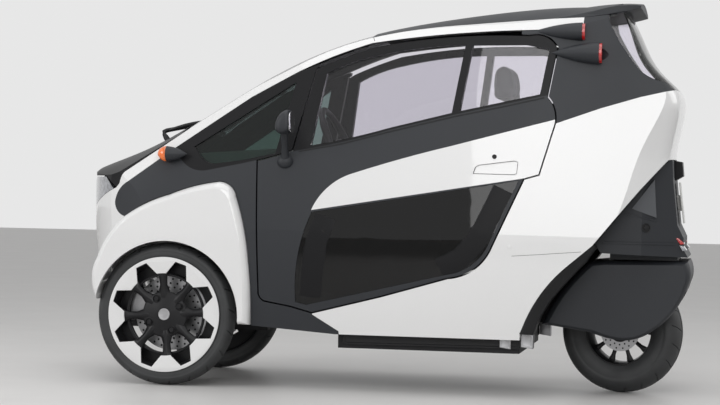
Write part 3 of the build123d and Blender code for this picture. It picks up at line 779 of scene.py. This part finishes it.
class CAR_OT_wheels(bpy.types.Operator):
    """Front spiders with ridged spokes, white covers, caps and nuts, discs whose drillings are dark marks of painted
    shade, and the rear wheel
    """
    bl_idname = "car.wheels"
    bl_label = "Wheels"

    def execute(self, context):
        wheels = context.scene.car_wheels
        self.front(wheels)
        self.rear()
        return {"FINISHED"}

    def front(self, wheels):
        arms = spoke("spokes", SPOKE)
        round_edges(arms, 1.6)
        round_copies(arms, wheels.spokes)
        turned(arms, -4.0)
        barrel = lathe("barrel", BARREL, 96)
        hub = lathe("hub", HUB, 64)
        inner = lathe("inner_ring", INNER_RING, 96)
        flange = lathe("flange", FLANGE, 96)
        spider = join("spokes_and_barrel", [arms, barrel, hub, inner, flange])
        cap = lathe("wheel_cap", CAP, 48)
        nut = lathe("nut", NUT, 24)
        place(nut, (wheels.nut_circle, 0.0, 0.0))
        round_copies(nut, wheels.nuts)
        turned(nut, -28.0)
        cover = copy_node("front_rim_left", "wheel_cover")
        place(cover, -FRONT_HUB)
        round_edges(cover, 2.2, 3)
        # Dark marks of painted shade stand for the front discs' holes
        hole_shades = holes("disc_hole_shades", -55.3, FRONT_DISC_HOLES, 4.2, 26)
        for made, slot, node in (
            (spider, "spider_black", "front_spider_{}"), (cap, "cast_alloy", ""), (nut, "spider_black", ""),
            (cover, "rim_white", "front_rim_{}"), (hole_shades, "chassis", ""),
        ):
            other = copy(made, made.name + "_right")
            made.name = made.name + "_left"
            place(made, FRONT_HUB)
            place(other, FRONT_HUB * MIRRORED, (0.0, 0.0, math.pi))
            for piece, side in ((made, "left"), (other, "right")):
                dress(piece, "front_wheel_" + side, slot, 32.0, (node.format(side),) if node else ())

    def rear(self):
        arms = spoke("rear_spokes", REAR_SPOKE)
        round_edges(arms, 1.2)
        round_copies(arms, REAR_SPOKES)
        barrel = lathe("rear_barrel", REAR_BARREL, 72)
        hub = lathe("rear_hub", REAR_HUB_ROWS, 48)
        wheel = join("rear_wheel_spider", [arms, barrel, hub])
        disc = lathe("rear_disc", REAR_DISC, 64)
        # Dark marks of painted shade stand for the rear disc's holes
        hole_shades = holes("rear_disc_hole_shades", 30.6, REAR_DISC_HOLES, 3.4, 16)
        for made, slot, nodes in (
            (wheel, "spider_black", ("rear_rim",)), (disc, "disc_steel", ()), (hole_shades, "chassis", ()),
        ):
            place(made, REAR_HUB, (0.0, 0.0, REAR_TURN))
            dress(made, "rear_wheel", slot, 32.0, nodes)


class CarSeats(bpy.types.PropertyGroup):
    """How the seat pads are filled."""

    pressure: number_property("Pressure", "Air pressure that fills a pad", 4.0, min=0)
    swell: number_property("Swell", "Furthest that a pad's cover may move out", 0.014, unit="LENGTH")
    voxel: number_property("Voxel", "Size of the cover's faces", 0.013, unit="LENGTH")
    seam: number_property("Seam depth", "Depth of a sewn seam", 0.006, unit="LENGTH")


# Frames of the cloth simulation, how much smaller than its node a cover starts, and the half width of what a seam
# draws in, both in metres
FILL_FRAMES = 16
COVER_TRIM = 0.016
SEAM_REACH = 0.016
# Node, y of the sewn channels, shares of its height or length where cross seams run
PADS = (
    ("front_seat_cushion", (-150, 150), (0.45, 0.78)),
    ("front_seat_back", (-140, 140), (0.38, 0.72)),
    ("front_headrest", (), (0.3,)),
    ("rear_seat_cushion", (-120, 120), (0.5,)),
    ("rear_seat_back", (-115, 115), (0.4, 0.75)),
)


class CAR_OT_seats(bpy.types.Operator):
    """Filled seat pads with sewn channels, in place of the plain seat forms"""
    bl_idname = "car.seats"
    bl_label = "Seats"

    def execute(self, context):
        seats = context.scene.car_seats
        for node, channels, cross in PADS:
            self.pad(context, seats, node, channels, cross)
        return {"FINISHED"}

    def pad(self, context, seats, node, channels, cross):
        low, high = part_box(node)
        made = copy_node(node, node + "_pad")
        trim = Vector([(size - COVER_TRIM) / size for size in high - low])
        edit(made)
        bpy.ops.transform.resize(value=trim, center_override=(low + high) / 2)
        clear()
        modify(made, "REMESH", mode="VOXEL", voxel_size=seats.voxel)
        modify(made, "SMOOTH", factor=0.5, iterations=4)
        self.fill(context, seats, made)
        self.sew(seats, made, low, high, channels, cross)
        soften(made)
        dress(made, "body", "seat_cloth", 80.0, (node,))

    def fill(self, context, seats, made):
        """Blow the cover up with cloth simulation, no corner further than the swell."""
        before = [corner.co.copy() for corner in made.data.vertices]
        pick(made)
        cloth = made.modifiers.new("fill", "CLOTH")
        cloth.settings.use_pressure = True
        cloth.settings.uniform_pressure_force = seats.pressure
        cloth.settings.effector_weights.gravity = 0.0
        cloth.settings.quality = 4
        cloth.collision_settings.use_collision = False
        for number in range(1, FILL_FRAMES + 1):
            context.scene.frame_set(number)
        bpy.ops.object.modifier_apply(modifier="fill")
        context.scene.frame_set(1)
        for corner, start in zip(made.data.vertices, before):
            moved = corner.co - start
            if moved.length > seats.swell:
                corner.co = start + moved.normalized() * seats.swell

    def sew(self, seats, made, low, high, channels, cross):
        """Draw the cover in along its seams."""
        made.data.update()
        tall = high.z - low.z > high.x - low.x
        lines = [low.z + (high.z - low.z) * share if tall else low.x + (high.x - low.x) * share for share in cross]
        for corner in made.data.vertices:
            spot = corner.co
            along = spot.z if tall else spot.x
            gap = min([abs(spot.y - y / 1000.0) for y in channels] + [abs(along - line) for line in lines])
            if gap < SEAM_REACH:
                corner.co -= corner.normal * seats.seam * (1.0 - gap / SEAM_REACH) ** 2


# The steering wheel's middle and lean, then where its grips are and their half length, in degrees from the rim's top
STEERING = Vector((0.196, 0.0, 0.916))
STEERING_LEAN = -65.0
GRIP_AT = 62.0
GRIP_HALF = 16.0
# Height, half width and half length of the pad's rings, then reach, half width, back, shoulder and ridge of an arm
PAD_RINGS = ((-12, 44, 30), (4, 56, 40), (14, 52, 36), (18, 34, 22))
ARM_ROWS = ((36, 20, -8, 4, 6), (80, 15, -6, 5, 7), (125, 12, -7, 4, 6), (160, 17, -8, 4, 6))


class CAR_OT_steering_wheel(bpy.types.Operator):
    """Steering wheel with a gripped rim, a pad and three spokes"""
    bl_idname = "car.steering_wheel"
    bl_label = "Steering wheel"

    def execute(self, context):
        clear()
        bpy.ops.mesh.primitive_torus_add(major_radius=0.163, minor_radius=0.0125, major_segments=72, minor_segments=16)
        rim = bpy.context.object
        edit(rim)
        choose(rim, lambda corner: abs(abs(math.degrees(math.atan2(corner.co.y, corner.co.x))) - GRIP_AT) < GRIP_HALF,
               "VERT")
        bpy.ops.transform.shrink_fatten(value=0.0024)
        pad = loft("pad", [
            [Vector((tall * a - 4.0, wide * b, z)) / 1000.0 for a, b in oval(20, 0.01, 0.6)]
            for z, wide, tall in PAD_RINGS])
        parts = [rim, pad]
        for turn in (90.0, -90.0, 180.0):
            arm = loft("arm", [
                [Vector((reach, w, h)) / 1000.0 for w, h in (
                    (-half, back), (-half, shoulder), (-half * 0.5, ridge), (half * 0.5, ridge), (half, shoulder),
                    (half, back))]
                for reach, half, back, shoulder, ridge in ARM_ROWS])
            place(arm, ORIGIN, (0.0, 0.0, math.radians(turn)))
            parts.append(arm)
        wheel = join("steering_wheel_rim", parts)
        place(wheel, STEERING, (0.0, math.radians(STEERING_LEAN), 0.0))
        dress(wheel, "body", "trim_black", 45.0, ("steering_wheel",))
        return {"FINISHED"}


# y of a section of the mirror head and its size about its rear edge, then x and z of its outline
MIRROR_SECTIONS = ((449, 0.55), (454, 0.78), (468, 0.93), (495, 1.0), (525, 0.99), (545, 0.9), (556, 0.72), (560, 0.5))
MIRROR_OUTLINE = (
    (345, 957), (375, 954), (396, 960), (401, 975), (400, 994), (394, 1014), (382, 1032), (366, 1044), (353, 1048),
    (345, 1043), (342, 1020), (342, 985),
)
MIRROR_CENTRE = (352, 990)
# Share of the stalk's length, half thickness and half width, and x and size of the glass's rings
STALK_ROWS = ((0.0, 20, 20), (0.16, 14, 16), (0.5, 9, 12), (0.85, 9, 14), (1.0, 14, 20))
STALK_SIDES = 16
GLASS_RINGS = ((342.2, 0.86), (340.6, 0.86), (340.2, 0.8))


class CAR_OT_mirrors(bpy.types.Operator):
    """Domed mirror heads on leaning stalks, each with its glass"""
    bl_idname = "car.mirrors"
    bl_label = "Mirrors"

    def execute(self, context):
        middle_x, middle_z = MIRROR_CENTRE
        head = loft("mirror_head", [
            [point(middle_x + (x - middle_x) * (size if x > 350 else 1.0), y, middle_z + (z - middle_z) * size)
             for x, z in MIRROR_OUTLINE]
            for y, size in MIRROR_SECTIONS])
        clear()
        soften(head)
        foot, top = point(392, 388, 858), point(381, 456, 968)
        along = (top - foot).normalized()
        across = along.cross(Vector((1.0, 0.0, 0.0))).normalized()
        ahead = across.cross(along).normalized()
        angles = [i * math.tau / STALK_SIDES for i in range(STALK_SIDES)]
        stalk = loft("stalk", [
            [foot.lerp(top, share) + across * math.sin(a) * thick / 1000.0 + ahead * math.cos(a) * wide / 1000.0
             for a in angles]
            for share, thick, wide in STALK_ROWS])
        clear()
        bpy.ops.mesh.primitive_uv_sphere_add(segments=32, ring_count=16, radius=0.027, location=point(392, 385, 856))
        base = bpy.context.object
        base.scale = (1.15, 0.95, 1.0)
        bpy.ops.object.transform_apply(location=True, rotation=True, scale=True)
        body = join("mirror", [head, stalk, base])
        both_sides(body, "mirror_shell", "door_{}", "paint_grey", 60.0, "mirror_{}")
        glass_pane = loft("mirror_glass", [
            [point(x, 505 + 52 * size * a, 1000 + 45 * size * b) for a, b in oval(28, 0.02, 0.7)]
            for x, size in GLASS_RINGS])
        both_sides(glass_pane, "mirror_glass", "door_{}", "disc_steel", 40.0, material="mirror_silver")
        return {"FINISHED"}


# The black strip behind the rear quarter's edge: x and z of its inner edge, then of its outer edge
ARCH_INNER = ((-500, 238), (-504, 246), (-523, 295), (-560, 364), (-610, 428), (-665, 490), (-712, 528), (-762, 570))
ARCH_OUTER = ((-549, 238), (-552, 250), (-570, 300), (-604, 358), (-648, 412), (-696, 466), (-732, 504), (-772, 560))
SILL_BAR = ((170, 231), (170, 180), (155, 174), (-490, 178), (-498, 184), (-498, 231))
# The facet on the tail's side, painted a lighter grey than the tail as a painted highlight: x, z and how far each
# corner stands out
TAIL_FACET = ((-894, 704, 6), (-974, 812, 13), (-983, 672, 13))
# Thickness of the black lining inside the roof rails, in millimetres
LINING = 1.5


class CAR_OT_trim(bpy.types.Operator):
    """Arch strips, sill bars, seams, caps and locks on the body's sides"""
    bl_idname = "car.trim"
    bl_label = "Trim"

    def execute(self, context):
        self.arches()
        self.sills()
        self.lines()
        self.rounds()
        self.tail()
        self.lining()
        return {"FINISHED"}

    def lining(self):
        """Black lining on the inner side of the roof rails."""
        made = copy_node("roof_rails", "rail_lining")
        edit(made)
        choose(made, lambda face: face.normal.z > 0.5
               or face.normal.y * math.copysign(1.0, face.calc_center_median().y) > 0.5)
        bpy.ops.mesh.delete(type="FACE")
        clear()
        modify(made, "SOLIDIFY", thickness=LINING / 1000.0, offset=1.0)
        dress(made, "body", "trim_black", 35.0)

    def arches(self):
        strip = loft("arch_strip", [
            [point(x0, 394, z0), point(x0 + (x1 - x0) * 0.25, 391, z0 + (z1 - z0) * 0.25),
             point(x1, 366, z1), point(x1, 262, z1), point(x0, 262, z0)]
            for (x0, z0), (x1, z1) in zip(ARCH_INNER, ARCH_OUTER)])
        clear()
        round_edges(strip, 2.0)
        both_sides(strip, "arch_strip", "body", "trim_black", 30.0)

    def sills(self):
        bar = prism("sill_bar", [point(x, 328.5, z) for x, z in SILL_BAR], (0.0, 0.009, 0.0))
        recess(bar, 7.0, 2.0, 3.0)
        both_sides(bar, "sill_bar", "body", "trim_black", 30.0)
        for name, low, high in (
            ("sill_bracket", (-464, 329, 177), (-423, 343, 231)),
            ("sill_end", (-546, 300, 181), (-502, 345, 236)),
        ):
            corners = ((low[0], low[2]), (high[0], low[2] + 6), (high[0], high[2]), (low[0], high[2] - 3))
            bracket = prism(name, [point(x, low[1], z) for x, z in corners], (0.0, (high[1] - low[1]) / 1000.0, 0.0))
            recess(bracket, 6.0, 1.5, 2.0)
            both_sides(bracket, name, "body", "cast_alloy", 30.0)

    def lines(self):
        for name, node, body, slot, rows, width, height in (
            ("quarter_seam", "rear_quarters", "body", "trim_black",
             ((-470, 524), (-560, 531), (-640, 538), (-722, 545)), 1.6, 0.25),
            ("belt_seal", "door_shell_{}", "door_{}", "trim_black",
             ((340, 896), (180, 926), (0, 974), (-237, 1032), (-420, 1071), (-572, 1106)), 5.0, 2.2),
            ("rail_seam", "roof_rails", "body", "trim_black", ((84, 1329), (78, 1316)), 2.2, 0.3),
            ("glass_band_front", "door_lower_glass_{}", "door_{}", "gloss_black",
             ((228, 655), (262, 560), (278, 440), (284, 352)), 92.0, 0.5),
            ("glass_band_rear", "door_lower_glass_{}", "door_{}", "gloss_black",
             ((-432, 768), (-392, 680), (-345, 582), (-285, 512), (-205, 468)), 86.0, 0.5),
            ("tail_crease", "tail_unit", "body", "paint_grey",
             ((-866, 688), (-925, 674), (-983, 660)), 6.0, 2.5),
        ):
            strip = ribbon(name, node.format("left"), rows, width, height)
            both_sides(strip, name, body, slot, 30.0)

    def rounds(self):
        for name, node, body, slot, x, z, rows in (
            ("key_lock", "door_panel_{}", "door_{}", "trim_black", -397, 886,
             ((0, 0), (0, 8.4), (1.6, 8.4), (2.4, 7.4), (2.0, 6.2), (1.2, 5.8), (1.2, 1.8), (0.4, 1.5), (0.4, 0))),
            ("jack_cap", "rear_quarters", "body", "paint_white", -461, 557,
             ((-1, 0), (-1, 9.4), (0.2, 9.4), (0.2, 8.4), (-0.4, 8.2), (-0.4, 7.6), (1.0, 7.2), (1.3, 5), (1.4, 0))),
            ("tail_lock", "tail_unit", "body", "trim_black", -946, 634,
             ((-1, 0), (-1, 17), (2.6, 17), (3.4, 15.8), (2.6, 14), (0.6, 12.6), (0.6, 8.5), (2.4, 8), (2.9, 6),
              (2.9, 0))),
        ):
            spot, normal = surface(node.format("left"), x, z)
            made = lathe(name, rows, 40)
            place(made, spot, Vector(AXLE).rotation_difference(normal).to_euler())
            both_sides(made, name, body, slot, 30.0)

    def tail(self):
        facet = [(surface("tail_unit", x, z)[0], out) for x, z, out in TAIL_FACET]
        plate = loft("tail_facet", [
            [spot - Vector((0.0, 0.002, 0.0)) for spot, out in facet],
            [spot + Vector((0.0, out / 1000.0, 0.0)) for spot, out in facet]])
        # The facet takes the lighter grey, a painted highlight, in place of the tail's charcoal
        both_sides(plate, "tail_facet", "body", "paint_grey", 20.0, material="facet_highlight_grey")
        ledge = ribbon("tail_ledge", "tail_unit", ((-790, 577), (-900, 577), (-1050, 576)), 8.0, 4.0)
        both_sides(ledge, "tail_ledge", "body", "paint_grey", 20.0)
        for name, slot, low, high in (
            ("tail_reflector", "lens_red", (-1062, 120, 600), (-1082, 214, 574)),
            ("reverse_lamp", "lens_clear", (-1077, 120, 572), (-1090, 214, 550)),
        ):
            lamp = prism(name, [point(x, low[1], z) for x, z in (
                (low[0] + 12, low[2]), (high[0] + 12, high[2]), (high[0] - 3, high[2] + 3), (low[0] - 3, low[2] - 3))],
                (0.0, (high[1] - low[1]) / 1000.0, 0.0))
            clear()
            round_edges(lamp, 2.0)
            both_sides(lamp, name, "body", slot, 30.0)


# The wiper's arm and blade, x, y and z of their middle lines, then half width and half height
WIPER_ARM = (
    (934, 100, 922, 12, 14), (948, 98, 948, 12, 14), (968, 94, 970, 12, 12), (930, 70, 979, 10, 10),
    (880, 10, 992, 9, 8), (840, -60, 1007, 8, 7),
)
WIPER_BLADE = (
    (925, 150, 970, 8, 8), (880, 60, 995, 9, 11), (840, -20, 1008, 9, 12), (800, -100, 1018, 9, 11),
    (775, -170, 1012, 8, 8),
)


class CAR_OT_wiper(bpy.types.Operator):
    """Wiper arm and blade parked at the foot of the windshield"""
    bl_idname = "car.wiper"
    bl_label = "Wiper"

    def execute(self, context):
        for name, rows in (("wiper_arm", WIPER_ARM), ("wiper_blade", WIPER_BLADE)):
            rings = []
            for i, (x, y, z, wide, tall) in enumerate(rows):
                there = Vector(rows[min(i + 1, len(rows) - 1)][:3])
                ahead = (there - Vector(rows[max(i - 1, 0)][:3])).normalized()
                side = ahead.cross(Vector((0.0, 0.0, 1.0))).normalized() * wide
                up = side.cross(ahead).normalized() * tall
                rings.append([
                    point(*(Vector((x, y, z)) + side * a + up * b))
                    for a, b in ((-1, -0.8), (-1, 0.5), (-0.5, 1), (0.5, 1), (1, 0.5), (1, -0.8))])
            made = loft(name, rings)
            clear()
            soften(made)
            dress(made, "body", "trim_black", 40.0)
        return {"FINISHED"}


class CAR_PT_panel(bpy.types.Panel):
    """Lists the steps in order"""
    bl_label = "Three Wheeled Car"
    bl_idname = "CAR_PT_panel"
    bl_space_type = "VIEW_3D"
    bl_region_type = "UI"
    bl_category = "Car"

    def draw(self, context):
        for step in STEPS:
            self.layout.operator(step.bl_idname)


STEPS = (
    CAR_OT_stage, CAR_OT_finishes, CAR_OT_tyres, CAR_OT_wheels, CAR_OT_seats, CAR_OT_steering_wheel, CAR_OT_mirrors,
    CAR_OT_trim, CAR_OT_wiper,
)
GROUPS = {"car_stage": CarStage, "car_paint": CarPaint, "car_wheels": CarWheels, "car_seats": CarSeats}
CLASSES = (*GROUPS.values(), *STEPS, CAR_PT_panel)


def register():
    for item in CLASSES:
        bpy.utils.register_class(item)
    for name, group in GROUPS.items():
        setattr(bpy.types.Scene, name, bpy.props.PointerProperty(type=group))


def unregister():
    for name in GROUPS:
        delattr(bpy.types.Scene, name)
    for item in reversed(CLASSES):
        bpy.utils.unregister_class(item)


def main():
    register()
    for step in STEPS:
        group, name = step.bl_idname.split(".")
        getattr(getattr(bpy.ops, group), name)()


if __name__ == "__main__":
    main()
